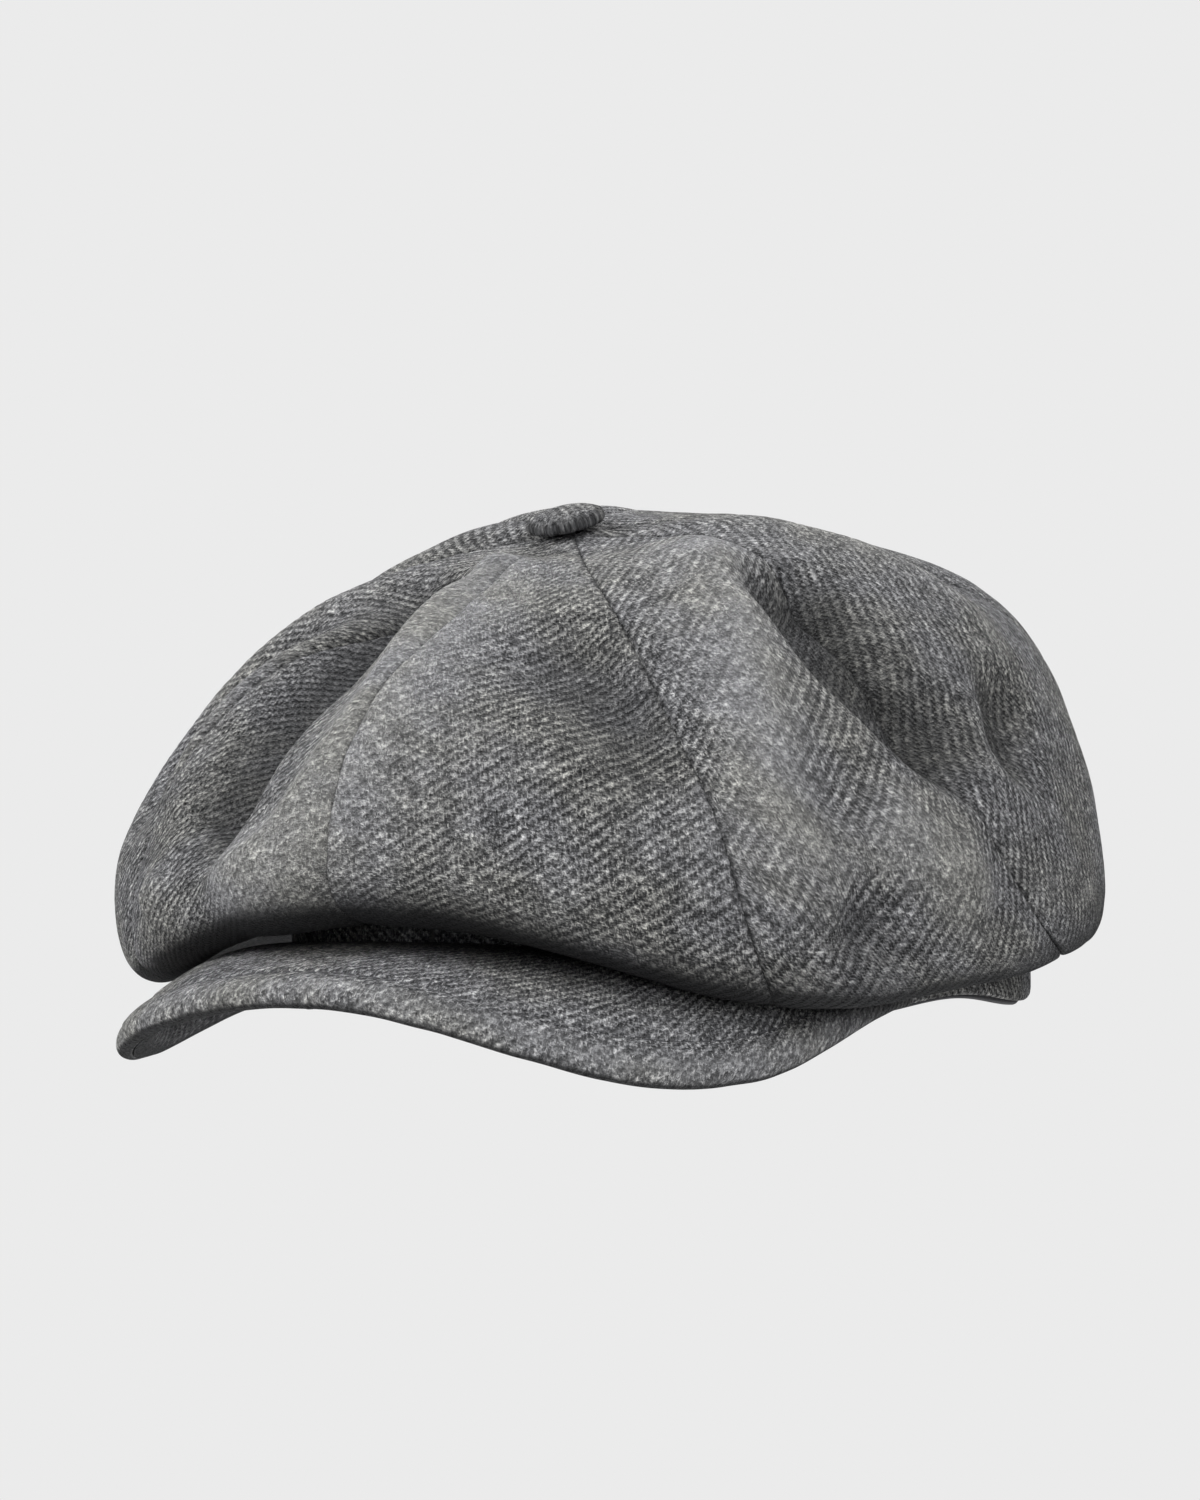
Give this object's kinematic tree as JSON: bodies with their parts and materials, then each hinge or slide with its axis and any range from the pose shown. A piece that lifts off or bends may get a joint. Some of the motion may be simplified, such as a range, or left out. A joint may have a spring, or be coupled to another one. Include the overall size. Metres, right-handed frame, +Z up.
{
  "type": "newsboy cap",
  "caption": "Soft newsboy cap: full gored wool crown gathered to a covered top button and leaning forward over a short, arched, stiffened visor on a plain headband.",
  "frame": {"origin": "centre of the head opening, on the headband's lower edge", "axes": "-Y to the front (visor), +X to the wearer's left, +Z up through the crown"},
  "size_m": [0.2258, 0.2692, 0.1296],
  "materials": {
    "wool_cloth": "brushed wool twill, grey melange",
    "satin_lining": "satin lining",
    "sweatband_cloth": "ribbed sweatband cloth",
    "stiffener_tape": "woven buckram tape",
    "visor_board": "stiff moulded board",
    "button_metal": "pressed button mould",
    "button_thread": "waxed thread shank",
    "backing_felt": "felt disc"
  },
  "bodies": {
    "crown": {"crown_panel_front_left": "wool_cloth", "crown_panel_side_front_left": "wool_cloth", "crown_panel_side_rear_left": "wool_cloth", "crown_panel_rear_left": "wool_cloth", "crown_panel_rear_right": "wool_cloth", "crown_panel_side_rear_right": "wool_cloth", "crown_panel_side_front_right": "wool_cloth", "crown_panel_front_right": "wool_cloth", "lining_gore_front_left": "satin_lining", "lining_gore_rear_left": "satin_lining", "lining_gore_rear_right": "satin_lining", "lining_gore_front_right": "satin_lining", "headband": "wool_cloth", "band_stiffener": "stiffener_tape", "sweatband": "sweatband_cloth", "button_backing_disc": "backing_felt"},
    "visor": {"visor_top_cover": "wool_cloth", "visor_under_cover": "wool_cloth", "visor_board": "visor_board"},
    "button": {"button_cover": "wool_cloth", "button_shell": "button_metal", "button_back": "button_metal", "button_shank": "button_thread"}
  },
  "joints": [
    {"name": "visor_flex", "type": "hinge", "parent": "crown", "child": "visor", "pos_m": [0, -0.1, 0.013], "axis": [1, 0, 0], "range_deg": [-2, 8], "stiffness_Nm_per_rad": 1.2},
    {"name": "button_turn", "type": "hinge", "parent": "crown", "child": "button", "pos_m": [0, -0.046, 0.1115], "axis": [0, -0.3746, 0.9272], "range_deg": [-30, 30], "stiffness_Nm_per_rad": 0.01}
  ]
}
